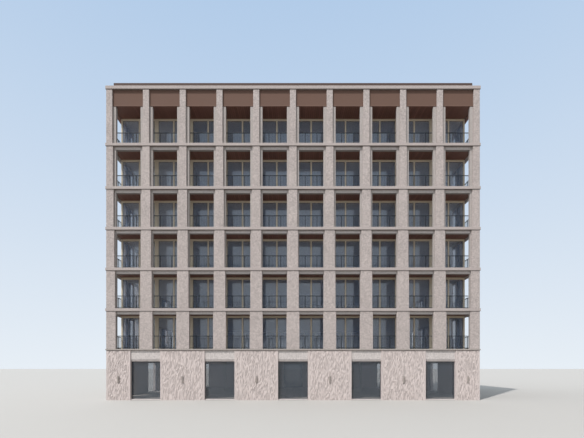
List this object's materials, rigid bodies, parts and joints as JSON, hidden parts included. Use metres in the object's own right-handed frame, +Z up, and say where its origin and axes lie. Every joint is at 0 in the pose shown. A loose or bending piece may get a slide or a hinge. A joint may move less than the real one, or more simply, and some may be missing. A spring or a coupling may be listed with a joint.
{
  "type": "apartment block",
  "caption": "Free-standing flat-roofed apartment block with a two-layer pier and band facade grid, deep loggias with railings, and a hewn stone ground floor with glazed openings.",
  "frame": {"origin": "centre of the footprint, on the ground", "axes": "+Z up, the street front faces -Y, +X to the right of someone who looks at the front"},
  "size_m": [27.54, 16.85, 23.57],
  "materials": {
    "hewn_stone": "roughly hewn pale limestone",
    "smooth_stone": "smooth pale precast stone",
    "band_stone": "smooth pale precast stone",
    "pier_stone": "pale precast stone with a fine washed mottle",
    "inner_stone": "pale grey precast stone with a fine washed mottle",
    "slab": "plain concrete",
    "roof_deck": "gravel on a flat roof",
    "plaster": "plain plaster",
    "soffit": "dark brown matte boards",
    "panel_metal": "bronze-coloured satin metal",
    "window_metal": "olive bronze satin metal",
    "dark_frame": "near-black satin metal",
    "glass": "clear double glazing with a faint grey tint",
    "rail_steel": "anthracite powder coat",
    "lamp_metal": "grey bronze satin metal",
    "planter_metal": "bronze-coloured sheet metal",
    "soil": "bare dark soil"
  },
  "bodies": {
    "root": {"ground_slab": "slab", "ground_walls_front": "hewn_stone", "ground_walls_back": "hewn_stone", "ground_walls_sides": "hewn_stone", "ground_lintels": "smooth_stone", "ground_sills": "smooth_stone", "ground_window_frames": "dark_frame", "ground_glass": "glass", "ground_columns": "slab", "wall_lamps": "lamp_metal", "band_1": "band_stone", "band_2": "band_stone", "band_3": "band_stone", "band_4": "band_stone", "band_5": "band_stone", "band_6": "band_stone", "cornice": "band_stone", "outer_piers_1": "pier_stone", "outer_piers_2": "pier_stone", "outer_piers_3": "pier_stone", "outer_piers_4": "pier_stone", "outer_piers_5": "pier_stone", "outer_piers_6": "pier_stone", "inner_piers_front": "inner_stone", "inner_piers_back": "inner_stone", "inner_piers_sides": "inner_stone", "corner_posts": "inner_stone", "inner_lintels": "inner_stone", "top_panels": "panel_metal", "parapet": "inner_stone", "floor_slabs": "slab", "roof_slab": "roof_deck", "loggia_soffits": "soffit", "party_walls": "plaster", "window_frames_front": "window_metal", "window_frames_back": "window_metal", "window_frames_sides": "window_metal", "window_glass_front": "glass", "window_glass_back": "glass", "window_glass_sides": "glass", "railings_front": "rail_steel", "railings_back": "rail_steel", "railings_sides": "rail_steel", "roof_planter": "planter_metal", "planter_soil": "soil"}
  },
  "joints": []
}
